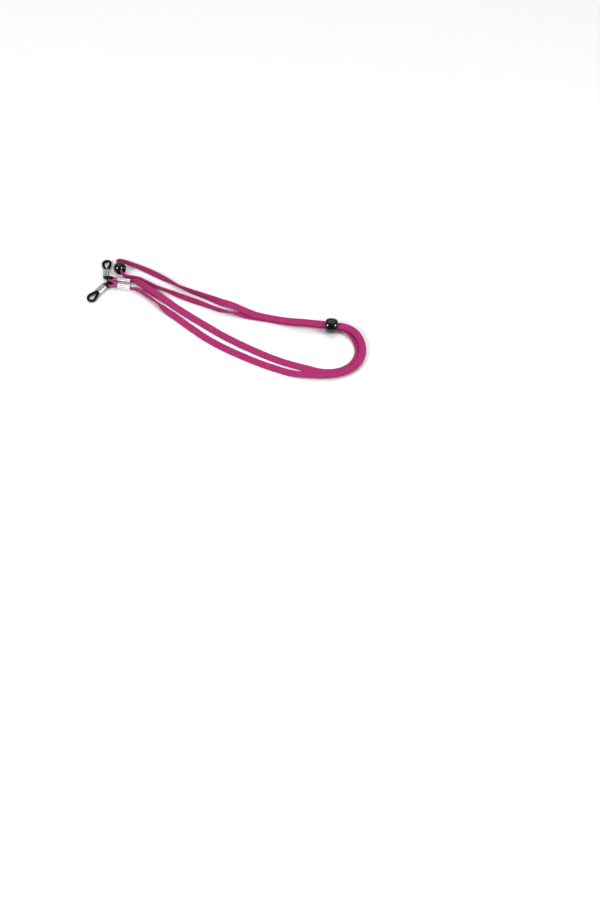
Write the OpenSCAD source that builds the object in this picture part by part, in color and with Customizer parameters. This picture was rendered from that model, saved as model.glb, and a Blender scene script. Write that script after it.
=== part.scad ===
// Eyeglass retainer strap: one flat woven cord doubled into a tail loop, with a rubber
// grip loop on a crimped ferrule at each end, a slider bead on the doubled run and a
// round stop bead at the tip of the tail loop. It lies at rest on a flat surface.
// Millimetres, +Z up, +X along the longest side, the surface it lies on at z = 0.

/* [Cord] */
// Width of the flat cord's face
cord_w = 4.4; // [3:0.1:5]
// Thickness of the flat cord
cord_t = 1.4; // [1:0.1:2]
// Cord width where a ferrule squeezes it
pinch_w = 2.45; // [2.2:0.05:3.6]
// Cord thickness where a ferrule squeezes it
pinch_t = 1.1; // [0.8:0.05:1.4]
// Cord width at the tip of an eyelet, where it bunches
bunch_w = 1.8; // [1.4:0.1:2.2]
// Cord thickness at the tip of an eyelet
bunch_t = 1.0; // [0.9:0.05:1.3]
// Free radius inside an eyelet
eye_r = 0.95; // [0.9:0.05:1.4]

/* [Ferrules] */
// Length of a ferrule
ferrule_l = 8.0; // [6:0.5:10]
// Wall of a ferrule
ferrule_wall = 0.3; // [0.3:0.05:0.6]
// Gap from an eyelet's centre to its ferrule
ferrule_gap = 4.4; // [3.6:0.1:5]

/* [Grip loops] */
// Diameter of the rubber thread
rubber_d = 1.7; // [1.4:0.1:2.2]
// Centreline radius of the outer loop, which grips the temple
grip_r = 2.3; // [1.9:0.05:4]
// Distance from a sleeve to the middle of the outer loop
grip_reach = 5.5; // [3:0.1:6]
// Slope of the sleeve and outer loop down to the surface, in degrees
grip_tilt = 7.5; // [0:0.1:10]
// Radius of the bend between the eyelet and the sleeve
grip_bend = 1.9; // [1.9:0.1:4]
// Distance along the rubber from the eyelet's centre to the sleeve
sleeve_from = 4.5; // [4.5:0.1:7]
// Length of a sleeve
sleeve_l = 5.6; // [4:0.1:7]
// Wall of a sleeve
sleeve_wall = 0.3; // [0.3:0.05:0.6]
// Heading of the upper rubber where it leaves its eyelet, in degrees from +X
head_upper = 182; // [170:1:220]
// Heading of the lower rubber where it leaves its eyelet, in degrees from +X
head_lower = 180; // [165:1:225]

/* [Beads] */
// Outside diameter of the slider bead
slider_d = 9.6; // [9:0.1:11]
// Length of the slider bead
slider_l = 7.6; // [6:0.1:9]
// Hole through the slider bead
slider_bore = 5.2; // [5.1:0.1:5.8]
// Rounding of the slider bead's rims
slider_round = 2.0; // [0.5:0.1:2.3]
// Diameter of the round bead
bead_d = 8.0; // [7:0.1:9]
// Hole through the round bead
bead_bore = 4.7; // [4.6:0.1:5.2]

/* [Hidden] */

$fn = 48;
eps = 0.01;

// Centres the whole strap on the origin.
place = [0.25, 2.76, 0];

// Where the eyelets' centres are, and which way their ferrules point.
eye_z = 2.9;
upper_eye = [-72.4, 24.7, eye_z];
lower_eye = [-72.0, 20.7, eye_z];
upper_turn = -8;
lower_turn = -11;

// How the two layers lie side by side in a ferrule.
layer = pinch_t / 2 + 0.015;
cord_end_x = ferrule_gap + ferrule_l / 2;
mouth_x = ferrule_gap + ferrule_l;

// The slider bead and the round bead on their straight runs.
slider_at = [65.4, -10.8, slider_d / 2];
slider_turn = -7.125;
bead_at = [-67.4, 32.1, bead_d / 2];
bead_turn = 116.565;

// A point given in an eyelet's own frame, put in the strap's frame.
function turned(p, a) = [p[0] * cos(a) - p[1] * sin(a), p[0] * sin(a) + p[1] * cos(a)];
function from_eye(eye, a, x, y, lift, roll, pinch) =
    let (q = turned([x, y], a)) [eye[0] + q[0], eye[1] + q[1], lift, roll, pinch];

// The cord's route: x, y, height above lying flat on the surface, roll from face up,
// and how far it is squeezed towards its size in a ferrule.
leg_upper = [
    from_eye(upper_eye, upper_turn, cord_end_x, layer, 0.8, 90, 1),
    from_eye(upper_eye, upper_turn, mouth_x, layer, 0.8, 90, 1),
    from_eye(upper_eye, upper_turn, mouth_x + 0.8, layer, 0.8, 90, 1),
    [-56, 22.4, 1.1, 66, 0],
    [-52, 20.3, 1.0, 40, 0],
    [-47, 17.1, 0.8, 15, 0],
    [-40, 12.1, 0.4, 0, 0],
    [-31, 5.1, 0, 0, 0],
    [-15.5, -5.8, 0, 0, 0],
    [0, -16, 0, 0, 0],
    [17, -25.4, 0, 0, 0],
    [35, -33.6, 0, 0, 0],
    [50, -38.4, 0, 0, 0],
    [60, -40.9, 0, 0, 0],
    [69.5, -40.3, 0, 0, 0],
    [77.5, -35.8, 0, 0, 0],
    [81.5, -28.2, 0, 0, 0],
    [80.3, -19.8, 0.6, 0, 0],
    [76, -14, 2.2, 0, 0]
];
slide_low = [
    [71, -11.5, 3.3, 0, 0],
    [70, -11.375, 3.3, 0, 0],
    [50, -8.875, 3.3, 0, 0],
    [49, -8.75, 3.3, 0, 0]
];
tail_low = [
    [38, -6.4, 1.2, 0, 0],
    [28, -3.8, 0, 0, 0],
    [16, -1.6, 0, 0, 0],
    [9.5, -0.3, 0, 20, 0],
    [3, 0.8, 0, 60, 0],
    [-3.3, 2.2, 0, 86, 0],
    [-9.6, 4.7, 0, 92, 0],
    [-16, 7.4, 0, 102, 0],
    [-22.3, 10, 0, 105, 0],
    [-29.9, 13.2, 0, 99, 0],
    [-36, 16.1, 0, 85, 0],
    [-42.7, 19.2, 0, 74, 0],
    [-49, 22.6, 0.1, 74, 0],
    [-55, 25.1, 0.5, 86, 0],
    [-60.6, 25.9, 1.0, 90, 0],
    [-63.3, 26.3, 1.5, 90, 0]
];
bead_run = [
    [-65.1, 27.5, 1.8, 90, 0],
    [-65.4, 28.1, 1.8, 90, 0],
    [-69.1, 35.5, 1.8, 90, 0],
    [-69.3, 35.9, 1.8, 90, 0]
];
tail_top = [
    [-69.4, 36.6, 1.75, 90, 0],
    [-68.9, 37.4, 1.65, 90, 0],
    [-67.8, 37.9, 1.5, 90, 0],
    [-65.6, 37.7, 1.3, 90, 0],
    [-61.4, 36.4, 1.0, 90, 0],
    [-56.2, 34.3, 0.5, 84, 0],
    [-51.1, 32, 0.2, 74, 0],
    [-45.9, 29.4, 0, 68, 0],
    [-40.7, 26.4, 0, 72, 0],
    [-34.5, 22.9, 0, 93, 0],
    [-29, 19.6, 0, 105, 0],
    [-23.5, 16.8, 0, 91, 0],
    [-16.9, 14, 0, 79, 0],
    [-9.9, 11.1, 0, 68, 0],
    [-3, 8.3, 0.2, 35, 0],
    [3, 6, 1.5, 5, 0],
    [10, 2.4, 2.1, 0, 0],
    [18, -1.2, 1.75, 0, 0],
    [28, -3.8, 1.65, 0, 0],
    [38, -6.4, 2.85, 0, 0]
];
slide_top = [
    [49, -8.75, 4.9, 0, 0],
    [50, -8.875, 4.9, 0, 0],
    [70, -11.375, 4.9, 0, 0],
    [71, -11.5, 4.9, 0, 0]
];
leg_lower = [
    [77, -13.3, 4.3, 0, 0],
    [82, -17.8, 3.0, 0, 0],
    [84.2, -25.2, 1.8, 0, 0],
    [82.8, -32.8, 1.65, 0, 0],
    [77.6, -39.2, 1.65, 0, 0],
    [69.6, -42.8, 1.65, 0, 0],
    [60, -43.9, 1.65, 0, 0],
    [51, -43.5, 1.5, 0, 0],
    [42, -42, 0.2, 0, 0],
    [32, -38.8, 0, 0, 0],
    [9, -28.8, 0, 0, 0],
    [-8, -19.4, 0, 0, 0],
    [-22, -9, 0, 0, 0],
    [-29.3, -3.1, 0, 0, 0],
    [-36.5, 2.4, 0, 15, 0],
    [-42, 7.1, 0.1, 60, 0],
    [-47.2, 11.1, 0.3, 86, 0],
    [-52.4, 14.9, 0.6, 90, 0],
    [-55.4, 16.8, 0.7, 90, 0],
    from_eye(lower_eye, lower_turn, mouth_x + 0.8, -layer, 0.8, 90, 1),
    from_eye(lower_eye, lower_turn, mouth_x, -layer, 0.8, 90, 1),
    from_eye(lower_eye, lower_turn, cord_end_x, -layer, 0.8, 90, 1)
];
route = concat(leg_upper, slide_low, tail_low, bead_run, tail_top, slide_top, leg_lower);

// An eyelet in its own frame: x towards the ferrule, y, roll, width and thickness.
eye_mid = eye_r + bunch_t / 2;
function eye_route(s) = concat(
    [[cord_end_x, s * layer, pinch_w, pinch_t], [ferrule_gap, s * layer, pinch_w, pinch_t]],
    [for (a = [60 : 30 : 300]) [eye_mid * cos(a), s * eye_mid * sin(a), bunch_w, bunch_t]],
    [[ferrule_gap, -s * layer, pinch_w, pinch_t], [mouth_x - 0.5, -s * layer, pinch_w, pinch_t]]);

// A smooth curve through the route's points, with a ring at least every ring_step.
ring_step = 13.5;
function at(r, i) = r[max(0, min(len(r) - 1, i))];
function span(a, b) = norm([b[0] - a[0], b[1] - a[1], b[2] - a[2]]);
function slope(r, i) =
    i == 0 ? (r[1] - r[0]) / span(r[0], r[1]) :
    i == len(r) - 1 ? (r[i] - r[i - 1]) / span(r[i - 1], r[i]) :
    let (p = span(r[i - 1], r[i]), q = span(r[i], r[i + 1]))
        ((r[i] - r[i - 1]) * q / p + (r[i + 1] - r[i]) * p / q) / (p + q);
function between(a, b, ma, mb, t) =
    (1 + 2 * t) * (1 - t) * (1 - t) * a + t * (1 - t) * (1 - t) * ma
    + t * t * (3 - 2 * t) * b - t * t * (1 - t) * mb;
function smooth_route(r, step) = concat(
    [for (i = [0 : len(r) - 2])
        let (d = span(r[i], r[i + 1]), n = max(1, ceil(d / step)))
            for (k = [0 : n - 1])
                between(r[i], r[i + 1], slope(r, i) * d, slope(r, i + 1) * d, k / n)],
    [r[len(r) - 1]]);

// Half sections of the flat cord, round at its edges, with eight sides.
function section(w, t) = [
    [w / 2, t / 4], [w * 0.375, t / 2], [-w * 0.375, t / 2], [-w / 2, t / 4],
    [-w / 2, -t / 4], [-w * 0.375, -t / 2], [w * 0.375, -t / 2], [w / 2, -t / 4]];
function rest_z(roll) = max(cord_w / 2 * abs(sin(roll)) + cord_t / 4 * abs(cos(roll)),
    cord_w * 0.375 * abs(sin(roll)) + cord_t / 2 * abs(cos(roll)));
function mix(a, b, k) = a + (b - a) * max(0, min(1, k));

// One ring of points square to the route: p is its middle, h its heading.
function ring(p, h, roll, w, t) =
    let (side = [-h[1], h[0], 0] / norm([h[0], h[1]]), up = cross(h, side),
         wide = side * cos(roll) + up * sin(roll), thin = cross(h, wide))
    [for (q = section(w, t)) p + wide * q[0] + thin * q[1]];
function heading(m, i) =
    let (a = i > 0 ? (m[i] - m[i - 1]) / norm(m[i] - m[i - 1]) : [0, 0, 0],
         b = i < len(m) - 1 ? (m[i + 1] - m[i]) / norm(m[i + 1] - m[i]) : [0, 0, 0],
         d = a + b)
    d / norm(d);

// A closed tube through rings of eight points.
module skin(rings) {
    n = len(rings);
    polyhedron(
        points = [for (r = rings) for (p = r) p],
        faces = concat(
            [[for (j = [0 : 7]) j]],
            [for (i = [0 : n - 2]) for (j = [0 : 7])
                [i * 8 + (j + 1) % 8, i * 8 + j, i * 8 + 8 + (j + 1) % 8]],
            [for (i = [0 : n - 2]) for (j = [0 : 7])
                [i * 8 + 8 + (j + 1) % 8, i * 8 + j, i * 8 + 8 + j]],
            [[for (j = [7 : -1 : 0]) (n - 1) * 8 + j]]),
        convexity = 10);
}

module round_box(x, y, r) {
    square([x - 2 * r, y], center = true);
    square([x, y - 2 * r], center = true);
    for (i = [-1, 1]) for (j = [-1, 1])
        translate([i * (x / 2 - r), j * (y / 2 - r)]) circle(r);
}

module cord() {
    color("#a82c6c") translate(place) {
        r = smooth_route(route, ring_step);
        m = [for (q = r) [q[0], q[1], max(0, q[2]) + rest_z(q[3])]];
        skin([for (i = [0 : len(r) - 1])
            ring(m[i], heading(m, i), r[i][3],
                mix(cord_w, pinch_w, r[i][4]), mix(cord_t, pinch_t, r[i][4]))]);
    }
}

module eyelet(eye, turn, s) {
    color("#b23a78") translate(place + eye) rotate([0, 0, turn]) {
        e = eye_route(s);
        m = [for (q = e) [q[0], q[1], 0]];
        skin([for (i = [0 : len(e) - 1])
            ring(m[i], i < 2 ? [-1, 0, 0] : i > len(e) - 3 ? [1, 0, 0] : heading(m, i),
                90, e[i][2], e[i][3])]);
    }
}

module eyelet_upper() { eyelet(upper_eye, upper_turn, 1); }
module eyelet_lower() { eyelet(lower_eye, lower_turn, -1); }

// A flattened tube crimped over the two layers, with a closing seam along its top.
module ferrule(eye, turn) {
    inner_y = 4 * layer;
    color("#c9cbce") translate(place + eye) rotate([0, 0, turn])
        translate([ferrule_gap, 0, 0]) rotate([90, 0, 90])
            linear_extrude(ferrule_l) difference() {
                round_box(inner_y + 2 * ferrule_wall, pinch_w + 2 * ferrule_wall, 1.0);
                round_box(inner_y, pinch_w, 0.4);
                translate([0, pinch_w / 2 + ferrule_wall]) circle(0.2);
            }
}

module ferrule_upper() { ferrule(upper_eye, upper_turn); }
module ferrule_lower() { ferrule(lower_eye, lower_turn); }

// One closed rubber ring pinched into a figure of eight, drawn straight and then bent.
// Each point is x, y, z and how far the ring has turned from upright to level, with x
// along the rubber from the eyelet's centre.
rubber_r = rubber_d / 2;
twin = rubber_r + 0.05;
inner_half = 1.05;
inner_bend = 0.95;
inner_top = inner_half + inner_bend;
inner_flat = 1.7;
inner_run = sleeve_from - inner_flat;
sleeve_to = sleeve_from + sleeve_l;
rubber_sides = 10;

upper_half = concat(
    [[0, 0, inner_half, 0]],
    [for (a = [22.5 : 22.5 : 90])
        [inner_bend * (1 - cos(a)), 0, inner_half + inner_bend * sin(a), 0]],
    [for (k = [0 : 8])
        let (t = k / 8)
        [inner_flat + inner_run * t, twin * (1 - cos(180 * pow(t, 0.75))) / 2,
         inner_top * (1 + cos(180 * t)) / 2, t]],
    [[sleeve_from + 0.4, twin, 0, 1], [sleeve_to - 0.3, twin, 0, 1]]);

grip_d = norm([grip_reach, twin]);
grip_turn = acos(grip_r / grip_d) + atan2(twin, grip_reach);
grip_arc = 360 - 2 * grip_turn;
grip_part = [for (p = concat(
        [[0.1, twin]],
        [for (i = [0 : 14])
            [grip_reach + grip_r * cos(180 - grip_turn - grip_arc * i / 14),
             grip_r * sin(180 - grip_turn - grip_arc * i / 14)]],
        [[0.1, -twin]]))
    [sleeve_to + p[0], p[1], 0, 1]];
rubber_route = concat(
    [[0, 0, 0, 0]], upper_half, grip_part,
    [for (i = [len(upper_half) - 1 : -1 : 0])
        [upper_half[i][0], -upper_half[i][1], -upper_half[i][2], upper_half[i][3]]]);

// The rubber's own line: straight out of the eyelet, a level bend, then straight, and
// from the sleeve on it slopes down. Gives x, y, heading and how far it has sunk.
upper_bend = [1.5, -89];
lower_bend = [2.8, 47];
sink_end = tan(grip_tilt) * inner_run / 2;
function along(u, bend) =
    let (x = u > sleeve_from ? sleeve_from + (u - sleeve_from) * cos(grip_tilt) : u,
         a = max(0, min(abs(bend[1]), (x - bend[0]) / grip_bend * 180 / PI)),
         s = sign(bend[1]), rest = max(0, x - bend[0] - grip_bend * a * PI / 180),
         start = min(x, bend[0]))
    [start + grip_bend * sin(a) + rest * cos(a),
     s * (grip_bend * (1 - cos(a)) + rest * sin(a)), s * a,
     u > sleeve_from ? sink_end + (u - sleeve_from) * sin(grip_tilt) :
     u > inner_flat ? tan(grip_tilt) * pow(u - inner_flat, 2) / (2 * inner_run) : 0];
function bent(p, bend) =
    let (q = along(p[0], bend))
    [q[0] - p[1] * sin(q[2]), q[1] + p[1] * cos(q[2]), p[2] - q[3]];

module rubber_ring(bend) {
    n = len(rubber_route);
    m = rubber_sides;
    c = [for (q = rubber_route) bent(q, bend)];
    rings = [for (i = [0 : n - 1])
        let (d = c[(i + 1) % n] - c[(i + n - 1) % n], h = d / norm(d),
             t = rubber_route[i][3], turn = along(rubber_route[i][0], bend)[2],
             lie = [-sin(turn) * (1 - t), cos(turn) * (1 - t), t],
             flat = lie - h * (lie * h), a = flat / norm(flat), b = cross(h, a))
        [for (j = [0 : m - 1]) c[i] + rubber_r * (a * cos(360 * j / m) + b * sin(360 * j / m))]];
    polyhedron(
        points = [for (r = rings) for (p = r) p],
        faces = concat(
            [for (i = [0 : n - 1]) for (j = [0 : m - 1])
                [i * m + (j + 1) % m, i * m + j, (i + 1) % n * m + (j + 1) % m]],
            [for (i = [0 : n - 1]) for (j = [0 : m - 1])
                [(i + 1) % n * m + (j + 1) % m, i * m + j, (i + 1) % n * m + j]]),
        convexity = 10);
}

module rubber_loop(eye, head, bend) {
    color("#17181a") translate(place + eye) rotate([0, 0, head]) rubber_ring(bend);
}

module rubber_loop_upper() { rubber_loop(upper_eye, head_upper, upper_bend); }
module rubber_loop_lower() { rubber_loop(lower_eye, head_lower, lower_bend); }

// The crimp that pinches the rubber ring: two barrels with a groove between them.
module sleeve(eye, head, bend) {
    q = along(sleeve_from, bend);
    color("#c9cbce") translate(place + eye) rotate([0, 0, head])
        translate([q[0], q[1], -q[3]]) rotate([0, grip_tilt, q[2]]) rotate([90, 0, 90])
            linear_extrude(sleeve_l) difference() {
                for (s = [-1, 1]) translate([s * twin, 0]) circle(rubber_r + sleeve_wall);
                for (s = [-1, 1]) translate([s * twin, 0]) circle(rubber_r);
                square([2 * twin, 0.5], center = true);
            }
}

module sleeve_upper() { sleeve(upper_eye, head_upper, upper_bend); }
module sleeve_lower() { sleeve(lower_eye, head_lower, lower_bend); }

module slider_bead() {
    straight = slider_l - 2 * slider_round;
    color("#141416") translate(place + slider_at) rotate([0, 0, slider_turn])
        rotate([0, 90, 0]) rotate_extrude() difference() {
            union() {
                translate([0, -slider_l / 2])
                    square([slider_d / 2 - slider_round, slider_l]);
                translate([0, -straight / 2])
                    square([slider_d / 2, straight]);
                for (s = [-1, 1])
                    translate([slider_d / 2 - slider_round, s * straight / 2])
                        circle(slider_round);
            }
            translate([-slider_d, -slider_l])
                square([slider_d + slider_bore / 2, 2 * slider_l]);
        }
}

module round_bead() {
    color("#141416") translate(place + bead_at) rotate([0, 0, bead_turn])
        rotate([0, 90, 0]) rotate_extrude() difference() {
            circle(bead_d / 2);
            translate([-bead_d, -bead_d]) square([bead_d + bead_bore / 2, 2 * bead_d]);
        }
}

cord();
eyelet_upper();
eyelet_lower();
ferrule_upper();
ferrule_lower();
rubber_loop_upper();
rubber_loop_lower();
sleeve_upper();
sleeve_lower();
slider_bead();
round_bead();
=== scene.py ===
import math

import bpy
import numpy as np
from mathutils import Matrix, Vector, noise


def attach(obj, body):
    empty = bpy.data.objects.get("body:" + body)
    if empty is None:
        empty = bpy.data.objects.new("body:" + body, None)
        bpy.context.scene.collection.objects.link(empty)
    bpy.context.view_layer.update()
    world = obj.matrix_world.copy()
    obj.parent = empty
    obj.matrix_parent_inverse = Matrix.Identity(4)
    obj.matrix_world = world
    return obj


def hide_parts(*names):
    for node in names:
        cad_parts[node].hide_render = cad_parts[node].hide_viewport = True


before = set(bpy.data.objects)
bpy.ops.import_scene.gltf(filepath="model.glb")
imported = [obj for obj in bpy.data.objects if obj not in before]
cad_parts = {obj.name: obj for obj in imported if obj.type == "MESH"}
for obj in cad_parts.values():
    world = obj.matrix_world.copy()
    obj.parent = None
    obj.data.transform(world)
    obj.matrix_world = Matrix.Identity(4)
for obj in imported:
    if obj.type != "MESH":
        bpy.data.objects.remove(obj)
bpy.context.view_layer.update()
MM = 0.001

# ---------------------------------------------------------------- sizes, in millimetres and degrees
CORD_W, CORD_T = 4.4, 1.4
PINCH_W, PINCH_T = 2.45, 1.1  # the cord where a ferrule squeezes it
EYE_R = 0.95  # the hole that the folded end leaves for the rubber
BUNCH_W, BUNCH_T = 1.8, 1.0  # the cord in that fold
FERRULE_L, FERRULE_WALL, FERRULE_GAP = 8.0, 0.3, 4.4  # the gap runs from the eyelet's centre
SEAM_DEEP, SEAM_HALF = 0.26, 0.23  # the groove where the ferrule's two edges meet
ROLL_HIGH, ROLL_AT, ROLL_HALF = 0.06, 0.55, 0.30  # the ridge that each edge makes beside it
FERRULE_BULGE = 0.06
FERRULE_PRESSES, FERRULE_PRESS_HALF = (2.45, 5.55), 0.5
FERRULE_PRESS_SIDE, FERRULE_PRESS_TOP = 0.07, 0.015
RUBBER_R = 0.85
GRIP_R, GRIP_REACH = 2.3, 5.5  # the rubber's large loop: its round end, and how far out that is
GRIP_TILT, GRIP_BEND = 7.5, 1.9  # degrees down to the floor, and the radius of its bend
SLEEVE_FROM, SLEEVE_L, SLEEVE_WALL = 4.5, 5.6, 0.3
SLEEVE_PRESSES, SLEEVE_PRESS_HALF, SLEEVE_PRESS_DEEP = (1.6, 3.6), 0.34, 0.08
UNEVEN = 0.008  # how far crimped metal strays from its outline, at most
FLARE = 0.03  # how much wider a crimp's mouths are, as a share of its width
INNER_HALF, INNER_BEND, INNER_FLAT = 1.05, 0.95, 1.7  # the rubber's small loop in the eyelet
SLIDER_D, SLIDER_L, SLIDER_BORE, SLIDER_LIP = 9.6, 7.6, 5.2, 0.35
SLIDER_FULL = 2.2  # the exponent of its crown: 2 is an ellipse, and more is fuller
BEAD_D, BEAD_BORE, BEAD_LIP = 8.0, 4.7, 0.3
PLACE = Vector((0.25, 2.76, 0.0))  # moves the outline's middle to the origin
# Each end: its eyelet's centre, the way its ferrule points, and the way its rubber heads with
# where that starts to bend and by how much.
UPPER_EYE, UPPER_TURN = Vector((-72.4, 24.7, 2.9)), -8.0
UPPER_HEAD, UPPER_BEND = 182.0, (1.5, -89.0)
LOWER_EYE, LOWER_TURN = Vector((-72.0, 20.7, 2.9)), -11.0
LOWER_HEAD, LOWER_BEND = 180.0, (2.8, 47.0)
SLIDER_AT, SLIDER_TURN = Vector((65.4, -10.8, 4.8)), -7.125
BEAD_AT, BEAD_TURN = Vector((-67.4, 32.1, 4.0)), 116.565
LAYER = PINCH_T / 2 + 0.015  # how far each of a ferrule's two layers of cord is from its middle
CORD_END_X = FERRULE_GAP + FERRULE_L / 2
MOUTH_X = FERRULE_GAP + FERRULE_L
TWIN = RUBBER_R + 0.05  # half the spacing of the two strands of rubber in a sleeve

# ---------------------------------------------------------------- camera
scene = bpy.context.scene
look_at = Vector((46.42, -89.61, 0.0)) * MM
lift, away = math.radians(65.0), 0.583
cam_data = bpy.data.cameras.new("camera")
cam_data.sensor_width = 36.0
cam_data.lens = 40.12
cam_data.clip_start, cam_data.clip_end = 0.01, 20.0
camera = bpy.data.objects.new("camera", cam_data)
scene.collection.objects.link(camera)
camera.location = look_at + Vector((0.0, -away * math.cos(lift), away * math.sin(lift)))
camera.rotation_euler = (math.radians(90.0) - lift, 0.0, 0.0)
scene.camera = camera


# ---------------------------------------------------------------- mesh helpers
def new_object(name, verts, faces, uvs=None, sharp=None):
    """A smooth mesh object from points in millimetres. uvs is one (u, v) per face corner,
    and an edge bent by more than sharp degrees stays crisp."""
    mesh = bpy.data.meshes.new(name)
    mesh.from_pydata([tuple(Vector(v) * MM) for v in verts], [], faces)
    if uvs is not None:
        layer = mesh.uv_layers.new(name="Cloth")
        layer.data.foreach_set("uv", np.array(uvs, np.float32).reshape(-1))
    mesh.polygons.foreach_set("use_smooth", [True] * len(mesh.polygons))
    mesh.validate()
    mesh.update()
    obj = bpy.data.objects.new(name, mesh)
    scene.collection.objects.link(obj)
    if sharp is not None:
        mesh.set_sharp_from_angle(angle=math.radians(sharp))
    return obj


def ring_faces(rings, sides, closed=True):
    """Quads from each ring of points to the next, and from the last to the first if closed."""
    faces = []
    for i in range(rings if closed else rings - 1):
        j = (i + 1) % rings
        for k in range(sides):
            m = (k + 1) % sides
            faces.append((i * sides + k, i * sides + m, j * sides + m, j * sides + k))
    return faces


def lerp(a, b, k):
    """a where k is 0, b where it is 1, and a mix between."""
    return a + (b - a) * max(0.0, min(1.0, k))


def bell(x, half):
    """1 at x = 0, and fading on both sides of it."""
    return math.exp(-(x / half) ** 2)


def turned(x, y, degrees):
    """The point (x, y) turned about the origin."""
    c, s = math.cos(math.radians(degrees)), math.sin(math.radians(degrees))
    return x * c - y * s, x * s + y * c


def slope(before, here, after, gap, next_gap):
    """The curve's slope here, leaning to the nearer neighbour."""
    return ((here - before) * next_gap / gap + (after - here) * gap / next_gap) / (gap + next_gap)


def cubic(a, b, slope_a, slope_b, gap, t):
    """The row that is t of the way along a smooth stretch from row a to row b."""
    return ((1 + 2 * t) * (1 - t) ** 2 * a + t * (1 - t) ** 2 * slope_a * gap
            + t * t * (3 - 2 * t) * b - t * t * (1 - t) * slope_b * gap)


def hermite(points, step):
    """A smooth curve through the points, weighted by their spacing: rows of any width."""
    p = np.array(points, float)
    d = np.linalg.norm(np.diff(p[:, :3], axis=0), axis=1)
    m = np.zeros_like(p)
    m[0], m[-1] = (p[1] - p[0]) / d[0], (p[-1] - p[-2]) / d[-1]
    for i in range(1, len(p) - 1):
        m[i] = slope(p[i - 1], p[i], p[i + 1], d[i - 1], d[i])
    out = []
    for i in range(len(p) - 1):
        n = max(1, math.ceil(d[i] / step))
        out += [cubic(p[i], p[i + 1], m[i], m[i + 1], d[i], k / n) for k in range(n)]
    out.append(p[-1])
    return np.array(out)


def rest_z(roll):
    """How high the middle of the cord lies when the cord is rolled by that many degrees."""
    s, c = abs(math.sin(math.radians(roll))), abs(math.cos(math.radians(roll)))
    return max(CORD_W / 2 * s + CORD_T / 4 * c, CORD_W * 0.375 * s + CORD_T / 2 * c)


def headings(line):
    """A unit vector along the line at each of its points."""
    step = np.diff(line, axis=0)
    unit = step / np.linalg.norm(step, axis=1)[:, None]
    both = np.vstack([unit[:1], unit[:-1] + unit[1:], unit[-1:]])
    return both / np.linalg.norm(both, axis=1)[:, None]


def flat_section(sides, power):
    """The outline of a flat braid: a squarish oval of half width 1 and half thickness 1."""
    out = []
    for k in range(sides):
        a = 2 * math.pi * (k + 0.5) / sides - math.pi / 2
        c, s = math.cos(a), math.sin(a)
        out.append((math.copysign(abs(c) ** (2 / power), c), math.copysign(abs(s) ** (2 / power), s)))
    return out


def sweep_flat(name, line, rolls, widths, thicks, wobble, power=3.2, seed=0.0, sides=32):
    """A closed flat cord along line, in millimetres, with cloth coordinates in metres:
    u along the cord, v round it. wobble is how uneven its section is."""
    heads = headings(line)
    long = np.concatenate([[0.0], np.cumsum(np.linalg.norm(np.diff(line, axis=0), axis=1))])
    shape = flat_section(sides, power)
    verts, round_at = [], []
    for i, p in enumerate(line):
        h = Vector(heads[i])
        side = Vector((-h.y, h.x, 0.0)).normalized()
        up = h.cross(side)
        r = math.radians(rolls[i])
        wide = side * math.cos(r) + up * math.sin(r)
        thin = h.cross(wide)
        w, t = widths[i] / 2, thicks[i] / 2
        ring = []
        for k, (a, b) in enumerate(shape):
            v = wide * (a * w) + thin * (b * t)
            q = Vector((long[i] * 0.16 + seed, a * 0.7, b * 0.7 + 5.0))
            v *= 1.0 + wobble * noise.noise(q) - wobble * 0.5
            ring.append(Vector(p) + v)
        verts += ring
        lengths = [(ring[(k + 1) % sides] - ring[k]).length for k in range(sides)]
        round_at.append(np.concatenate([[0.0], np.cumsum(lengths)]))
    faces, uvs = ring_faces(len(line), sides, closed=False), []
    mean = np.mean(round_at, axis=0)
    for i in range(len(line) - 1):
        for k in range(sides):
            for ring, at in ((i, k), (i, k + 1), (i + 1, k + 1), (i + 1, k)):
                uvs.append((long[ring] * MM, mean[at] * MM))
    # The two ends: their cloth coordinates spread a little, so that the weave shows on them.
    for ring, order in ((0, range(sides - 1, -1, -1)), (len(line) - 1, range(sides))):
        faces.append(tuple(ring * sides + k for k in order))
        for k in order:
            uvs.append((long[ring] * MM + shape[k][1] * 0.0005, mean[k] * MM))
    return new_object(name, verts, faces, uvs, sharp=50)


# ---------------------------------------------------------------- the cord's route
def from_eye(eye, turn, x, y, above, roll, pinch):
    """A point of the route given in an eyelet's own frame, with x along its ferrule."""
    a, b = turned(x, y, turn)
    return (eye.x + a, eye.y + b, above, roll, pinch)


# Each point is x, y, how far the cord is held above the floor, its roll in degrees (90 is on
# edge), and 1 where a ferrule pinches it.
leg_upper = [
    from_eye(UPPER_EYE, UPPER_TURN, CORD_END_X, LAYER, 0.8, 90, 1),
    from_eye(UPPER_EYE, UPPER_TURN, MOUTH_X, LAYER, 0.8, 90, 1),
    from_eye(UPPER_EYE, UPPER_TURN, MOUTH_X + 0.8, LAYER, 0.8, 90, 1),
    (-56, 22.4, 1.1, 66, 0), (-52, 20.3, 1.0, 40, 0), (-47, 17.1, 0.8, 15, 0), (-40, 12.1, 0.4, 0, 0),
    (-31, 5.1, 0, 0, 0), (-15.5, -5.8, 0, 0, 0), (0, -16, 0, 0, 0), (17, -25.4, 0, 0, 0),
    (35, -33.6, 0, 0, 0), (50, -38.4, 0, 0, 0), (60, -40.9, 0, 0, 0), (69.5, -40.3, 0, 0, 0),
    (77.5, -35.8, 0, 0, 0), (81.5, -28.2, 0, 0, 0), (80.3, -19.8, 0.6, 0, 0), (76, -14, 2.2, 0, 0),
]
slide_low = [
    (71, -11.5, 3.3, 0, 0), (70, -11.375, 3.3, 0, 0), (50, -8.875, 3.3, 0, 0), (49, -8.75, 3.3, 0, 0),
]
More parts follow.
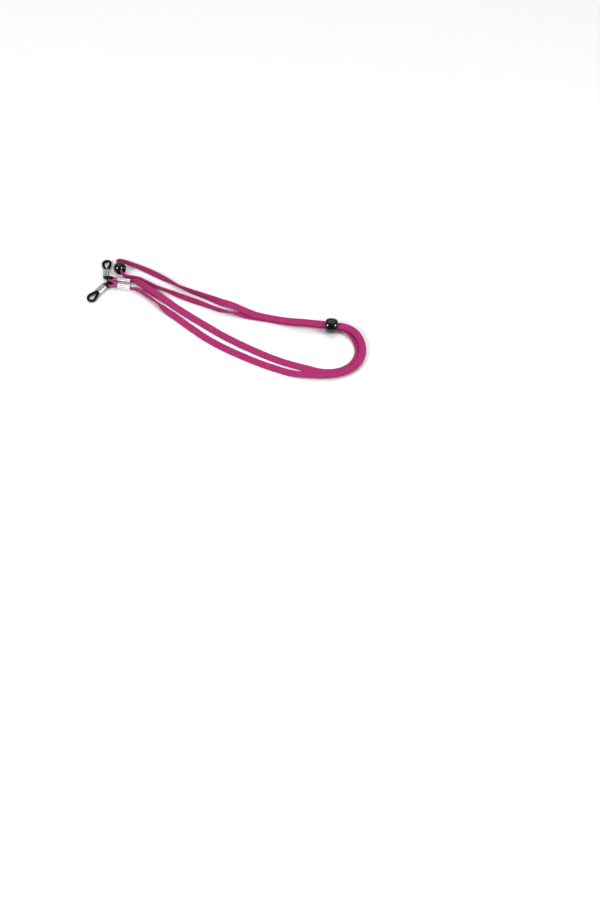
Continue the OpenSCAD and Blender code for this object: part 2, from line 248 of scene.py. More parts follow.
tail_low = [
    (38, -6.4, 1.2, 0, 0), (28, -3.8, 0, 0, 0), (16, -1.6, 0, 0, 0), (9.5, -0.3, 0, 20, 0),
    (3, 0.8, 0, 60, 0), (-3.3, 2.2, 0, 86, 0), (-9.6, 4.7, 0, 92, 0), (-16, 7.4, 0, 102, 0),
    (-22.3, 10, 0, 105, 0), (-29.9, 13.2, 0, 99, 0), (-36, 16.1, 0, 85, 0), (-42.7, 19.2, 0, 74, 0),
    (-49, 22.6, 0.1, 74, 0), (-55, 25.1, 0.5, 86, 0), (-60.6, 25.9, 1.0, 90, 0),
    (-63.3, 26.3, 1.5, 90, 0),
]
bead_run = [
    (-65.1, 27.5, 1.8, 90, 0), (-65.4, 28.1, 1.8, 90, 0), (-69.1, 35.5, 1.8, 90, 0),
    (-69.3, 35.9, 1.8, 90, 0),
]
tail_top = [
    (-69.4, 36.6, 1.75, 90, 0), (-68.9, 37.4, 1.65, 90, 0), (-67.8, 37.9, 1.5, 90, 0),
    (-65.6, 37.7, 1.3, 90, 0), (-61.4, 36.4, 1.0, 90, 0), (-56.2, 34.3, 0.5, 84, 0),
    (-51.1, 32, 0.2, 74, 0), (-45.9, 29.4, 0, 68, 0), (-40.7, 26.4, 0, 72, 0), (-34.5, 22.9, 0, 93, 0),
    (-29, 19.6, 0, 105, 0), (-23.5, 16.8, 0, 91, 0), (-16.9, 14, 0, 79, 0), (-9.9, 11.1, 0, 68, 0),
    (-3, 8.3, 0.2, 35, 0), (3, 6, 1.5, 5, 0), (10, 2.4, 2.1, 0, 0), (18, -1.2, 1.75, 0, 0),
    (28, -3.8, 1.65, 0, 0), (38, -6.4, 2.85, 0, 0),
]
slide_top = [
    (49, -8.75, 4.9, 0, 0), (50, -8.875, 4.9, 0, 0), (70, -11.375, 4.9, 0, 0), (71, -11.5, 4.9, 0, 0),
]
leg_lower = [
    (77, -13.3, 4.3, 0, 0), (82, -17.8, 3.0, 0, 0), (84.2, -25.2, 1.8, 0, 0), (82.8, -32.8, 1.65, 0, 0),
    (77.6, -39.2, 1.65, 0, 0), (69.6, -42.8, 1.65, 0, 0), (60, -43.9, 1.65, 0, 0),
    (51, -43.5, 1.5, 0, 0), (42, -42, 0.2, 0, 0), (32, -38.8, 0, 0, 0), (9, -28.8, 0, 0, 0),
    (-8, -19.4, 0, 0, 0), (-22, -9, 0, 0, 0), (-29.3, -3.1, 0, 0, 0), (-36.5, 2.4, 0, 15, 0),
    (-42, 7.1, 0.1, 60, 0), (-47.2, 11.1, 0.3, 86, 0), (-52.4, 14.9, 0.6, 90, 0),
    (-55.4, 16.8, 0.7, 90, 0),
    from_eye(LOWER_EYE, LOWER_TURN, MOUTH_X + 0.8, -LAYER, 0.8, 90, 1),
    from_eye(LOWER_EYE, LOWER_TURN, MOUTH_X, -LAYER, 0.8, 90, 1),
    from_eye(LOWER_EYE, LOWER_TURN, CORD_END_X, -LAYER, 0.8, 90, 1),
]
route = leg_upper + slide_low + tail_low + bead_run + tail_top + slide_top + leg_lower

smooth = hermite(route, step=0.75)
line = np.array([(x, y, max(0.0, above) + rest_z(roll)) for x, y, above, roll, pinch in smooth])
line += np.array(PLACE)
cord = sweep_flat(
    "woven_strap_cord", line, smooth[:, 3],
    [lerp(CORD_W, PINCH_W, p) for p in smooth[:, 4]],
    [lerp(CORD_T, PINCH_T, p) for p in smooth[:, 4]],
    wobble=0.03,
)
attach(cord, "strap")
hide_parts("cord")


# ---------------------------------------------------------------- eyelets
def eyelet(name, eye, turn, s):
    """The cord's folded end: out of the ferrule, round the rubber and back in. Between the two
    its strands bulge towards each other, which leaves a hole only where the rubber is."""
    mid, spread = EYE_R + BUNCH_T / 2, 0.6
    bulge = ((3.2, 0.68, 1.24), (2.1, 0.79, 1.44))  # x, y and thickness
    rows = [(CORD_END_X, s * LAYER, 0, PINCH_W, PINCH_T),
            (FERRULE_GAP + 0.6, s * LAYER, 0, PINCH_W, PINCH_T),
            (FERRULE_GAP - 0.1, s * (LAYER + 0.02), 0, PINCH_W - 0.05, PINCH_T)]
    rows += [(x, s * y, 0, BUNCH_W + spread, t) for x, y, t in bulge]
    for a in range(60, 301, 20):
        width = BUNCH_W + spread * (abs(a - 180) / 120) ** 2
        rows.append((mid * math.cos(math.radians(a)), s * mid * math.sin(math.radians(a)), 0,
                     width, BUNCH_T))
    rows += [(x, -s * y, 0, BUNCH_W + spread, t) for x, y, t in reversed(bulge)]
    rows += [(FERRULE_GAP - 0.1, -s * (LAYER + 0.02), 0, PINCH_W - 0.05, PINCH_T),
             (FERRULE_GAP + 0.6, -s * LAYER, 0, PINCH_W, PINCH_T),
             (MOUTH_X - 0.5, -s * LAYER, 0, PINCH_W, PINCH_T)]
    fine = hermite(rows, step=0.3)
    pts = np.array([(*turned(r[0], r[1], turn), 0.0) for r in fine]) + np.array(PLACE + eye)
    obj = sweep_flat(name, pts, [90.0] * len(fine), fine[:, 3], fine[:, 4], wobble=0.05, power=2.8,
                     seed=eye.y)
    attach(obj, "strap")
    return obj


eyelet_u = eyelet("woven_eyelet_upper", UPPER_EYE, UPPER_TURN, 1)
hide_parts("eyelet_upper")
eyelet_l = eyelet("woven_eyelet_lower", LOWER_EYE, LOWER_TURN, -1)
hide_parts("eyelet_lower")


# ---------------------------------------------------------------- crimped metal
def shell(name, outer, inner, stations, put):
    """A tube with a wall: outer and inner are outlines (y, z) of equal length, and each
    station along it is (x, grow, dent). put moves a point to its place."""
    verts = []

    def ring(x, outline, grow, dent):
        for y, z in outline:
            dy, dz = dent(x, y, z) if dent else (0.0, 0.0)
            verts.append(put(x, y * grow + dy, z * grow + dz))

    for x, grow, dent in stations:
        ring(x, outer, grow, dent)
    for x, grow, dent in reversed(stations):
        ring(x, inner, grow, None)
    return new_object(name, verts, ring_faces(2 * len(stations), len(outer)), sharp=45)


def crimp_stations(start, length, count, dent, flare_run, rim_in, rim_run):
    """Stations along a crimp, whose mouths flare a little and have their rims turned in."""
    out = []
    for k in range(count + 1):
        along = length * k / count
        edge = min(along, length - along)
        grow = 1.0 + FLARE * math.exp(-edge / flare_run) - rim_in * max(0.0, 1 - edge / rim_run) ** 2
        out.append((start + along, grow, dent))
    return out


def rounded_box(half_y, half_z, r, per_corner=6, per_side=12):
    """An outline (y, z) with the same number of points whatever its size."""
    out = []
    for cy, cz, a0 in ((1, 1, 0), (-1, 1, 90), (-1, -1, 180), (1, -1, 270)):
        for k in range(per_corner + 1):
            a = math.radians(a0 + 90 * k / per_corner)
            out.append((cy * (half_y - r) + r * math.cos(a), cz * (half_z - r) + r * math.sin(a)))
    full = []
    for i, p in enumerate(out):
        q = out[(i + 1) % len(out)]
        full.append(p)
        gap = math.hypot(q[0] - p[0], q[1] - p[1])
        if gap > 0.3:
            for k in range(1, per_side):
                t = k / per_side
                full.append((p[0] + (q[0] - p[0]) * t, p[1] + (q[1] - p[1]) * t))
    return full


def ferrule(name, node, eye, turn, seed):
    """A flattened tube with a rolled seam along its top, pressed in at two places."""
    half_y, half_z = 2 * LAYER + FERRULE_WALL, PINCH_W / 2 + FERRULE_WALL
    outer = rounded_box(half_y, half_z, r=1.0)
    inner = rounded_box(2 * LAYER, PINCH_W / 2, r=0.4)
    # The sheet's two edges meet along the top and roll down into a groove; the sides bulge.
    shaped = []
    for y, z in outer:
        if z > 0:
            z += ROLL_HIGH * bell(abs(y) - ROLL_AT, ROLL_HALF) - SEAM_DEEP * bell(y, SEAM_HALF)
        if abs(y) > 0.9 * half_y:
            y += math.copysign(FERRULE_BULGE, y) * max(0.0, 1 - (z / half_z) ** 2)
        shaped.append((y, z))

    def dent(x, y, z):
        along = x - FERRULE_GAP
        dy = dz = 0.0
        for at in FERRULE_PRESSES:
            press = bell(along - at, FERRULE_PRESS_HALF)
            flank = max(0.0, 1 - (z / half_z) ** 4) * (abs(y) / half_y) ** 3
            dy -= math.copysign(FERRULE_PRESS_SIDE, y) * press * flank
            dz -= math.copysign(FERRULE_PRESS_TOP, z) * press * (abs(z) / half_z) ** 4
        uneven = UNEVEN * noise.noise(Vector((along * 0.45 + seed, y * 0.5, z * 0.5)))
        return dy + uneven, dz + uneven

    def put(x, y, z):
        a, b = turned(x, y, turn)
        return Vector((a, b, z)) + PLACE + eye

    stations = crimp_stations(FERRULE_GAP, FERRULE_L, 48, dent, flare_run=0.35, rim_in=0.045,
                              rim_run=0.14)
    obj = shell(name, shaped, inner, stations, put)
    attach(obj, "strap")
    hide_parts(node)
    return obj


ferrule_u = ferrule("metal_ferrule_upper", "ferrule_upper", UPPER_EYE, UPPER_TURN, 1.0)
ferrule_l = ferrule("metal_ferrule_lower", "ferrule_lower", LOWER_EYE, LOWER_TURN, 7.0)


def barrels(radius, meet):
    """Two circles side by side, each cut off at meet from the middle, with a groove between."""
    last = 180 - math.degrees(math.acos((TWIN - meet) / radius))
    half = []
    for k in range(19):
        a = math.radians(-last + 2 * last * k / 18)
        half.append((TWIN + radius * math.cos(a), radius * math.sin(a)))
    groove = half[-1][1] - 0.05
    return half + [(0.0, groove)] + [(-y, -z) for y, z in half] + [(0.0, -groove)]


def along_grip(u, bend):
    """The rubber's own line in its eyelet's frame: x, y, heading and how far it has sunk."""
    tilt, run = math.radians(GRIP_TILT), SLEEVE_FROM - INNER_FLAT
    x = SLEEVE_FROM + (u - SLEEVE_FROM) * math.cos(tilt) if u > SLEEVE_FROM else u
    begin, angle = bend
    a = max(0.0, min(abs(angle), math.degrees((x - begin) / GRIP_BEND)))
    s, start = math.copysign(1.0, angle), min(x, begin)
    rest = max(0.0, x - begin - GRIP_BEND * math.radians(a))
    c, h = math.cos(math.radians(a)), math.sin(math.radians(a))
    if u > SLEEVE_FROM:
        sunk = math.tan(tilt) * run / 2 + (u - SLEEVE_FROM) * math.sin(tilt)
    else:
        sunk = math.tan(tilt) * max(0.0, u - INNER_FLAT) ** 2 / (2 * run)
    return start + GRIP_BEND * h + rest * c, s * (GRIP_BEND * (1 - c) + rest * h), s * a, sunk


def sleeve(name, node, body, eye, head, bend, seed):
    """The crimp round two strands of rubber: two barrels, pressed in at two places."""
    outer = barrels(RUBBER_R + SLEEVE_WALL, meet=0.14)
    inner = barrels(RUBBER_R + 0.02, meet=0.10)
    from_x, from_y, turn, sunk = along_grip(SLEEVE_FROM, bend)
    ct, st = math.cos(math.radians(GRIP_TILT)), math.sin(math.radians(GRIP_TILT))

    def dent(x, y, z):
        dz = 0.0
        for at in SLEEVE_PRESSES:
            press = bell(x - at, SLEEVE_PRESS_HALF) * min(1.0, abs(z)) ** 2
            dz -= math.copysign(SLEEVE_PRESS_DEEP, z) * press
        uneven = UNEVEN * noise.noise(Vector((x * 0.6 + seed, y * 0.5, z * 0.5)))
        return uneven, dz + uneven

    def put(x, y, z):
        a, b = turned(x * ct + z * st, y, turn)
        a, b = turned(from_x + a, from_y + b, head)
        return Vector((a, b, z * ct - x * st - sunk)) + PLACE + eye

    stations = crimp_stations(0.0, SLEEVE_L, 36, dent, flare_run=0.25, rim_in=0.05, rim_run=0.12)
    obj = shell(name, outer, inner, stations, put)
    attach(obj, body)
    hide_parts(node)
    return obj


sleeve_u = sleeve("metal_sleeve_upper", "sleeve_upper", "grip_upper", UPPER_EYE, UPPER_HEAD,
                  UPPER_BEND, 3.0)
sleeve_l = sleeve("metal_sleeve_lower", "sleeve_lower", "grip_lower", LOWER_EYE, LOWER_HEAD,
                  LOWER_BEND, 11.0)


# ---------------------------------------------------------------- rubber loops
def rubber_rows():
    """The ring before it is bent: x along the rubber, y, z, and how far its two strands have
    turned from one above the other (0) to side by side (1)."""
    top, run, to = INNER_HALF + INNER_BEND, SLEEVE_FROM - INNER_FLAT, SLEEVE_FROM + SLEEVE_L
    upper = [(0, 0, INNER_HALF, 0)]
    for degrees in (22.5, 45, 67.5, 90):
        a = math.radians(degrees)
        upper.append((INNER_BEND * (1 - math.cos(a)), 0, INNER_HALF + INNER_BEND * math.sin(a), 0))
    steps = 8
    for k in range(steps + 1):
        t = k / steps
        upper.append((INNER_FLAT + run * t, TWIN * (1 - math.cos(math.pi * t ** 0.75)) / 2,
                      top * (1 + math.cos(math.pi * t)) / 2, t))
    upper += [(SLEEVE_FROM + 0.4, TWIN, 0, 1), (to - 0.3, TWIN, 0, 1)]
    far = math.hypot(GRIP_REACH, TWIN)
    start = math.degrees(math.acos(GRIP_R / far) + math.atan2(TWIN, GRIP_REACH))
    grip = [(to + 0.1, TWIN, 0, 1)]
    steps = 14
    for k in range(steps + 1):
        a = math.radians(180 - start - (360 - 2 * start) * k / steps)
        grip.append((to + GRIP_REACH + GRIP_R * math.cos(a), GRIP_R * math.sin(a), 0, 1))
    grip.append((to + 0.1, -TWIN, 0, 1))
    return [(0, 0, 0, 0)] + upper + grip + [(x, -y, -z, t) for x, y, z, t in reversed(upper)]


def closed_curve(rows, step):
    """A smooth closed curve through rows, weighted by their spacing."""
    p = np.array(rows, float)
    n = len(p)
    d = np.array([np.linalg.norm(p[(i + 1) % n, :3] - p[i, :3]) for i in range(n)])
    m = np.array([slope(p[i - 1], p[i], p[(i + 1) % n], d[i - 1], d[i]) for i in range(n)])
    out = []
    for i in range(n):
        j, steps = (i + 1) % n, max(1, math.ceil(d[i] / step))
        out += [cubic(p[i], p[j], m[i], m[j], d[i], k / steps) for k in range(steps)]
    return np.array(out)


def rubber(name, node, body, eye, head, bend, sides=24):
    """One closed ring of round rubber thread, through the eyelet and the sleeve."""
    rows = closed_curve(rubber_rows(), step=0.28)
    n = len(rows)
    verts, middle, lies = [], [], []
    for x, y, z, level in rows:
        ax, ay, turn, sunk = along_grip(x, bend)
        r = math.radians(turn)
        middle.append(Vector((ax - y * math.sin(r), ay + y * math.cos(r), z - sunk)))
        lies.append(Vector((-math.sin(r) * (1 - level), math.cos(r) * (1 - level), level)))
    for i in range(n):
        h = (middle[(i + 1) % n] - middle[i - 1]).normalized()
        a = (lies[i] - h * lies[i].dot(h)).normalized()
        b = h.cross(a)
        for k in range(sides):
            ang = 2 * math.pi * k / sides
            q = middle[i] + (a * math.cos(ang) + b * math.sin(ang)) * RUBBER_R
            x, y = turned(q.x, q.y, head)
            verts.append(Vector((x, y, q.z)) + PLACE + eye)
    obj = new_object(name, verts, ring_faces(n, sides))
    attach(obj, body)
    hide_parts(node)
    return obj


rubber_u = rubber("rubber_grip_upper", "rubber_loop_upper", "grip_upper", UPPER_EYE, UPPER_HEAD,
                  UPPER_BEND)
rubber_l = rubber("rubber_grip_lower", "rubber_loop_lower", "grip_lower", LOWER_EYE, LOWER_HEAD,
                  LOWER_BEND)


# ---------------------------------------------------------------- beads
def lathe(name, profile, at, turn, around=96):
    """Turns a closed profile of (radius, along) round the bead's own axis."""
    verts = []
    for k in range(around):
        a = 2 * math.pi * k / around
        for r, x in profile:
            px, py = turned(x, r * math.cos(a), turn)
            verts.append(Vector((px, py, r * math.sin(a))) + at + PLACE)
    return new_object(name, verts, ring_faces(around, len(profile)))


def arc(cr, cx, r, a0, a1, n):
    """Points round (cr, cx) from angle a0 to a1, for a profile."""
    return [(cr + r * math.cos(math.radians(a0 + (a1 - a0) * k / n)),
             cx + r * math.sin(math.radians(a0 + (a1 - a0) * k / n))) for k in range(n + 1)]


def both_halves(right):
    """A whole profile from its right half, which runs from the bore out to the middle."""
    left = [(r, -x) for r, x in reversed(right[:-1])]
    return right + left + [(right[0][0], 0.0)]


def slider_profile():
    """A barrel: full at its middle, with a crown that draws its ends in."""
    half, big, bore, lip = SLIDER_L / 2, SLIDER_D / 2, SLIDER_BORE / 2, SLIDER_LIP
    right = [(bore, x) for x in np.linspace(0, half - lip, 6)[1:]]
    right += arc(bore + lip, half - lip, lip, 180, 90, 6)[1:]
    face = bore + lip
    steps = 40
    for k in range(1, steps):
        a = math.radians(90 * k / steps)
        r = face + (big - face) * math.sin(a) ** (2 / SLIDER_FULL)
        right.append((r, half * math.cos(a) ** (2 / SLIDER_FULL)))
    return both_halves(right + [(big, 0.0)])


def ball_profile():
    """A ball with a bore, whose two mouths have rounded lips."""
    big, bore, lip = BEAD_D / 2, BEAD_BORE / 2, BEAD_LIP
    at = bore + lip
    x_lip = math.sqrt((big - lip) ** 2 - at ** 2)
    tilt = math.degrees(math.atan2(x_lip, at))
    right = [(bore, x) for x in np.linspace(0, x_lip, 6)[1:]]
    right += arc(at, x_lip, lip, 180, tilt, 8)[1:]
    right += arc(0, 0, big, tilt, 0, 24)[1:]
    return both_halves(right)


slider = lathe("barrel_slider", slider_profile(), SLIDER_AT, SLIDER_TURN)
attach(slider, "slider")
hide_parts("slider_bead")
ball = lathe("ball_stop", ball_profile(), BEAD_AT, BEAD_TURN)
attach(ball, "stop")
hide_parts("round_bead")


# ---------------------------------------------------------------- materials
class Tree:
    """Short calls for building a material's nodes."""

    def __init__(self, name):
        self.mat = bpy.data.materials.new(name)
        self.mat.use_nodes = True
        self.nt = self.mat.node_tree
        self.nt.nodes.clear()
        out = self.nt.nodes.new("ShaderNodeOutputMaterial")
        self.bsdf = self.nt.nodes.new("ShaderNodeBsdfPrincipled")
        self.nt.links.new(self.bsdf.outputs[0], out.inputs["Surface"])

    def put(self, socket, value):
        if isinstance(value, bpy.types.NodeSocket):
            self.nt.links.new(value, socket)
        else:
            socket.default_value = value

    def math(self, op, a, b=0.0, clamp=False):
        n = self.nt.nodes.new("ShaderNodeMath")
        n.operation, n.use_clamp = op, clamp
        self.put(n.inputs[0], a)
        self.put(n.inputs[1], b)
        return n.outputs[0]

    def vec(self, x, y, z):
        n = self.nt.nodes.new("ShaderNodeCombineXYZ")
        for socket, value in zip(n.inputs, (x, y, z)):
            self.put(socket, value)
        return n.outputs[0]

    def split(self, vector):
        n = self.nt.nodes.new("ShaderNodeSeparateXYZ")
        self.put(n.inputs[0], vector)
        return n.outputs

    def millimetres(self, vector):
        """x, y and z of a place given in metres."""
        n = self.nt.nodes.new("ShaderNodeVectorMath")
        n.operation = "MULTIPLY"
        self.put(n.inputs[0], vector)
        n.inputs[1].default_value = (1 / MM,) * 3
        return self.split(n.outputs[0])

    def where(self):
        return self.nt.nodes.new("ShaderNodeTexCoord").outputs["Object"]

    def grain(self, a, b, c, stretch, detail, rough=0.6):
        """Noise over (a, b, c), each multiplied by its part of stretch: a small part draws it out."""
        scaled = [self.math("MULTIPLY", value, s) for value, s in zip((a, b, c), stretch)]
        return self.noise(self.vec(*scaled), 1.0, detail, rough)

    def noise(self, vector, scale, detail=2.0, rough=0.5):
        n = self.nt.nodes.new("ShaderNodeTexNoise")
        self.put(n.inputs["Vector"], vector)
        n.inputs["Scale"].default_value = scale
        n.inputs["Detail"].default_value = detail
        n.inputs["Roughness"].default_value = rough
        return n.outputs["Fac"]

    def ramp(self, fac, low, high, to_low=0.0, to_high=1.0):
        n = self.nt.nodes.new("ShaderNodeMapRange")
        self.put(n.inputs["Value"], fac)
        for key, value in (("From Min", low), ("From Max", high), ("To Min", to_low), ("To Max", to_high)):
            n.inputs[key].default_value = value
        return n.outputs["Result"]

    def colour(self, fac, a, b):
        n = self.nt.nodes.new("ShaderNodeMix")
        n.data_type = "RGBA"
        self.put(n.inputs[0], fac)
        for socket, value in ((n.inputs[6], a), (n.inputs[7], b)):
            self.put(socket, value if isinstance(value, bpy.types.NodeSocket) else (*value, 1.0))
        return n.outputs[2]

    def bump(self, height, distance, strength=1.0, after=None):
        n = self.nt.nodes.new("ShaderNodeBump")
        self.put(n.inputs["Height"], height)
        n.inputs["Distance"].default_value = distance
        n.inputs["Strength"].default_value = strength
        if after is not None:
            self.put(n.inputs["Normal"], after)
        return n.outputs[0]

    def set(self, **values):
        for key, value in values.items():
            self.put(self.bsdf.inputs[key.replace("_", " ")], value)


YARN = 0.72  # millimetres from one yarn to the next, along the cord or across it


def woven(name, bright, deep, edge, groove):
    """A fine flat braid of yarns that pass over and under each other, with a light fuzz. Painted shade
    darkens the grooves where the yarns dip, and a painted sheen lightens the fuzz.
    """
    t = Tree(name)
    uv = t.nt.nodes.new("ShaderNodeUVMap")
    uv.uv_map = "Cloth"
    u, v, _ = t.millimetres(uv.outputs[0])
    drift = t.math("MULTIPLY", t.noise(t.vec(u, v, 0.0), 0.35, 1.0), 0.5)
    a = t.math("DIVIDE", t.math("ADD", t.math("ADD", u, drift), v), YARN)
    b = t.math("DIVIDE", t.math("SUBTRACT", t.math("ADD", u, drift), v), YARN)
    cell = t.math("ADD", t.math("FLOOR", a), t.math("FLOOR", b))
    over = t.math("ABSOLUTE", t.math("SINE", t.math("MULTIPLY", cell, math.pi / 2)))
    hill_a = t.math("ABSOLUTE", t.math("SINE", t.math("MULTIPLY", a, math.pi)))
    hill_b = t.math("ABSOLUTE", t.math("SINE", t.math("MULTIPLY", b, math.pi)))
    one = t.math("MULTIPLY", hill_b, t.math("POWER", hill_a, 0.35))
    two = t.math("MULTIPLY", hill_a, t.math("POWER", hill_b, 0.35))
    under = t.math("SUBTRACT", 1.0, over)
    yarn = t.math("ADD", t.math("MULTIPLY", one, over), t.math("MULTIPLY", two, under))
    # Filaments run along each yarn, so the fine grain turns with the yarn that is on top.
    fib_a = t.grain(a, b, cell, (0.8, 7.0, 1.0), 2.0)
    fib_b = t.grain(a, b, cell, (7.0, 0.8, 1.0), 2.0)
    fibre = t.math("ADD", t.math("MULTIPLY", fib_a, over), t.math("MULTIPLY", fib_b, under))
    streak = t.noise(t.vec(t.math("MULTIPLY", u, 0.16), t.math("MULTIPLY", v, 1.9), 3.0), 1.0, 3.0, 0.55)
    mottle = t.noise(t.vec(t.math("MULTIPLY", u, 0.5), t.math("MULTIPLY", v, 0.6), 9.0), 1.0, 3.0, 0.6)
    fuzz = t.noise(t.vec(u, v, 5.0), 9.0, 3.0, 0.7)
    tone = t.math("ADD", t.math("MULTIPLY", streak, 0.55), t.math("MULTIPLY", mottle, 0.45))
    base = t.colour(t.ramp(tone, 0.36, 0.64), deep, bright)
    # Painted sheen: the paler edge colour, mixed in at random with the fuzz, stands for stray fibres
    # catching the light.
    base = t.colour(t.ramp(fuzz, 0.35, 0.75, 0.0, 0.30), base, edge)
    # Painted shade: the dark groove colour fills the hollows where the yarns dip under each other.
    shade = t.math("MULTIPLY", t.ramp(yarn, 0.55, 0.05), 0.75)
    base = t.colour(shade, base, groove)
    t.set(Base_Color=base)
    t.set(Roughness=t.ramp(fibre, 0.3, 0.7, 0.72, 0.92))
    t.bsdf.inputs["Specular IOR Level"].default_value = 0.18
    t.bsdf.inputs["Sheen Weight"].default_value = 0.12
    t.bsdf.inputs["Sheen Roughness"].default_value = 0.45
    t.bsdf.inputs["Sheen Tint"].default_value = (1.0, 0.62, 0.85, 1.0)
    lifted = t.bump(yarn, 0.00011, 0.9)
    lifted = t.bump(fibre, 0.00003, 0.8, lifted)
    t.set(Normal=t.bump(fuzz, 0.00003, 0.6, lifted))
    return t.mat


def plated(name, heading, tarnish, tone):
    """Bright plated crimp metal: lines drawn along its heading, fingerprints and small nicks.
    tarnish and tone are its darker and brighter grey."""
    t = Tree(name)
    spin = t.nt.nodes.new("ShaderNodeMapping")
    spin.inputs["Rotation"].default_value = (0.0, 0.0, -math.radians(heading))
    t.put(spin.inputs["Vector"], t.where())
    x, y, z = t.millimetres(spin.outputs[0])
    lines = t.grain(x, y, z, (0.25, 9.0, 9.0), 3.0)
    cloud = t.noise(t.vec(x, y, z), 0.9, 3.0, 0.6)
    nicks = t.noise(t.vec(x, y, z), 4.2, 2.0, 0.5)
    worn = t.ramp(nicks, 0.60, 0.72)
    base = t.colour(t.ramp(cloud, 0.45, 0.80, 0.0, 0.45), (tone,) * 3, (tarnish,) * 3)
    base = t.colour(t.math("MULTIPLY", worn, 0.25), base, (0.36, 0.35, 0.33))
    t.set(Base_Color=base)
    t.bsdf.inputs["Metallic"].default_value = 1.0
    rough = t.math("ADD", t.ramp(lines, 0.3, 0.7, 0.26, 0.33), t.ramp(cloud, 0.35, 0.7, 0.0, 0.10))
    t.set(Roughness=t.math("ADD", rough, t.math("MULTIPLY", worn, 0.12), clamp=True))
    first = t.bump(lines, 0.000002, 0.3)
    t.set(Normal=t.bump(worn, 0.000003, -0.2, first))
    return t.mat


def rubber_material():
    """Smooth black rubber with a little dust."""
    t = Tree("soft_black_rubber")
    x, y, z = t.millimetres(t.where())
    p = t.vec(x, y, z)
    cloud, fine = t.noise(p, 0.7, 3.0, 0.6), t.noise(p, 7.0, 2.0, 0.6)
    dust = t.noise(p, 3.1, 4.0, 0.7)
    base = t.colour(t.ramp(cloud, 0.35, 0.7), (0.0030, 0.0030, 0.0034), (0.0065, 0.0065, 0.0072))
    base = t.colour(t.ramp(dust, 0.68, 0.84, 0.0, 0.12), base, (0.06, 0.06, 0.064))
    t.set(Base_Color=base)
    dusty = t.ramp(dust, 0.55, 0.8, 0.0, 0.2)
    t.set(Roughness=t.math("ADD", t.ramp(cloud, 0.3, 0.7, 0.34, 0.48), dusty))
    t.bsdf.inputs["Specular IOR Level"].default_value = 0.14
    t.set(Normal=t.bump(dust, 0.00002, 0.5, t.bump(fine, 0.000015, 0.6)))
    return t.mat


def plastic_material():
    """Polished black plastic: fine scratches two ways, dust, and a surface not quite true."""
    t = Tree("polished_black_plastic")
    x, y, z = t.millimetres(t.where())
    p = t.vec(x, y, z)
    cloud = t.noise(p, 0.35, 3.0, 0.6)
    along_x = t.grain(x, y, z, (0.5, 6.0, 6.0), 2.0)
    along_y = t.grain(x, y, z, (5.0, 0.6, 5.0), 2.0)
    dust = t.noise(p, 5.0, 3.0, 0.7)
    lines = t.math("MAXIMUM", t.ramp(along_x, 0.66, 0.74), t.ramp(along_y, 0.68, 0.76))
    base = t.colour(t.ramp(cloud, 0.4, 0.7), (0.0018, 0.0018, 0.0022), (0.0045, 0.0045, 0.0052))
    base = t.colour(t.ramp(dust, 0.70, 0.84, 0.0, 0.15), base, (0.09, 0.09, 0.095))
    t.set(Base_Color=base)
    rough = t.math("ADD", t.ramp(cloud, 0.35, 0.7, 0.03, 0.06), t.math("MULTIPLY", lines, 0.10))
    t.set(Roughness=rough)
    t.bsdf.inputs["Specular IOR Level"].default_value = 0.62
    t.bsdf.inputs["Coat Weight"].default_value = 0.35
    t.bsdf.inputs["Coat Roughness"].default_value = 0.03
    ripple = t.noise(p, 0.5, 1.0)
    t.set(Normal=t.bump(lines, 0.000008, -0.5, t.bump(ripple, 0.00003, 0.15)))
    return t.mat


# groove is the painted shade between the yarns; edge is the paler colour of a painted sheen on the fuzz.
cloth = woven("magenta_flat_braid", bright=(0.48, 0.028, 0.182), deep=(0.36, 0.017, 0.126),
              edge=(0.54, 0.075, 0.25), groove=(0.17, 0.007, 0.052))
# Painted light: the eyelets are the cord's own braid, given a paler copy of its colours where it folds.
pale_cloth = woven("magenta_folded_braid", bright=(0.56, 0.085, 0.255), deep=(0.40, 0.040, 0.155),
                   edge=(0.66, 0.20, 0.37), groove=(0.20, 0.010, 0.060))
metal_u = plated("plated_ferrule_metal_upper", UPPER_TURN, tarnish=0.72, tone=0.95)
metal_l = plated("plated_ferrule_metal_lower", LOWER_TURN, tarnish=0.72, tone=0.95)
metal_su = plated("plated_sleeve_metal_upper", UPPER_HEAD + UPPER_BEND[1], tarnish=0.54, tone=0.80)
metal_sl = plated("plated_sleeve_metal_lower", LOWER_HEAD + LOWER_BEND[1], tarnish=0.54, tone=0.80)
black = rubber_material()
gloss = plastic_material()
# Each piece, the node that it stands for, and the look of both.
looks = ((cord, "cord", cloth), (eyelet_u, "eyelet_upper", pale_cloth),
         (eyelet_l, "eyelet_lower", pale_cloth), (ferrule_u, "ferrule_upper", metal_u),
         (ferrule_l, "ferrule_lower", metal_l), (sleeve_u, "sleeve_upper", metal_su),
         (sleeve_l, "sleeve_lower", metal_sl), (rubber_u, "rubber_loop_upper", black),
         (rubber_l, "rubber_loop_lower", black), (slider, "slider_bead", gloss),
         (ball, "round_bead", gloss))
for piece, node, mat in looks:
    piece.data.materials.append(mat)
    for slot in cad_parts[node].material_slots:
        slot.material = mat

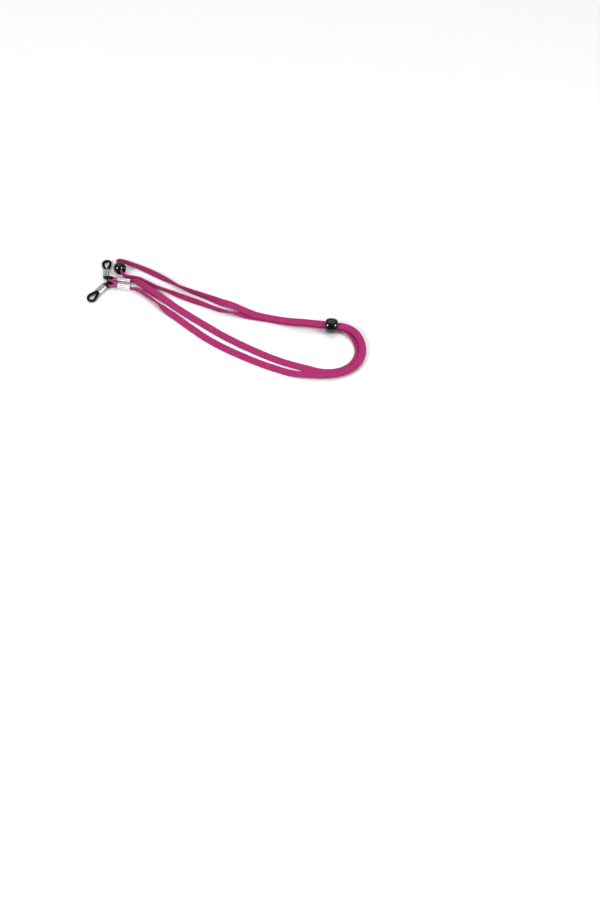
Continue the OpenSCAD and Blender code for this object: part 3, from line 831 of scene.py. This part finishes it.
# ---------------------------------------------------------------- floor and light
FLOOR_HALF, FLOOR_DROP = 3.0, 0.00005  # metres; the strap's underside is just above the floor
corners = [(x * FLOOR_HALF, y * FLOOR_HALF, 0) for x, y in ((-1, -1), (1, -1), (1, 1), (-1, 1))]
floor_mesh = bpy.data.meshes.new("floor")
floor_mesh.from_pydata(corners, [], [(0, 1, 2, 3)])
floor = bpy.data.objects.new("floor", floor_mesh)
scene.collection.objects.link(floor)
floor.location = (0, 0, -FLOOR_DROP)
paper = Tree("pale_paper")
paper.set(Base_Color=(0.86, 0.86, 0.86, 1.0), Roughness=0.9)
floor_mesh.materials.append(paper.mat)


def softbox(name, toward, distance, size, power):
    """A round lamp of that many metres and watts, facing the origin."""
    light = bpy.data.lights.new(name, "AREA")
    light.shape, light.size, light.energy = "DISK", size, power
    obj = bpy.data.objects.new(name, light)
    scene.collection.objects.link(obj)
    obj.location = Vector(toward).normalized() * distance
    obj.rotation_euler = (-obj.location).to_track_quat("-Z", "Y").to_euler()
    return obj


softbox("softbox_left", toward=(-0.656, -0.32, 0.685), distance=1.0, size=0.36, power=5.6)
softbox("softbox_right", toward=(0.656, -0.32, 0.685), distance=1.0, size=0.36, power=4.8)
overhead = softbox("softbox_top", toward=(0.0, 0.25, 0.97), distance=1.2, size=1.1, power=6.5)
overhead.visible_glossy = False

# The room: dim all round, with one broad pale wall behind and above the strap.
world = bpy.data.worlds.new("studio")
scene.world = world
world.use_nodes = True
room = world.node_tree
where = room.nodes.new("ShaderNodeTexCoord").outputs["Generated"]
toward = room.nodes.new("ShaderNodeVectorMath")
toward.operation = "DOT_PRODUCT"
toward.inputs[1].default_value = (0.0, 0.57, 0.82)
room.links.new(where, toward.inputs[0])
wall = room.nodes.new("ShaderNodeMapRange")
wall.interpolation_type = "SMOOTHSTEP"
WALL_EDGE, WALL_FULL = 0.74, 0.93  # cosines of the angle from the middle of the wall
DIM, PALE = 0.08, 0.72  # the strength of the room's light and of the wall's
for key, value in (("From Min", WALL_EDGE), ("From Max", WALL_FULL), ("To Min", DIM), ("To Max", PALE)):
    wall.inputs[key].default_value = value
room.links.new(toward.outputs["Value"], wall.inputs["Value"])
back = room.nodes["Background"]
back.inputs["Color"].default_value = (1.0, 1.0, 1.0, 1.0)
room.links.new(wall.outputs["Result"], back.inputs["Strength"])
scene.view_settings.view_transform = "Standard"

bpy.context.view_layer.update()
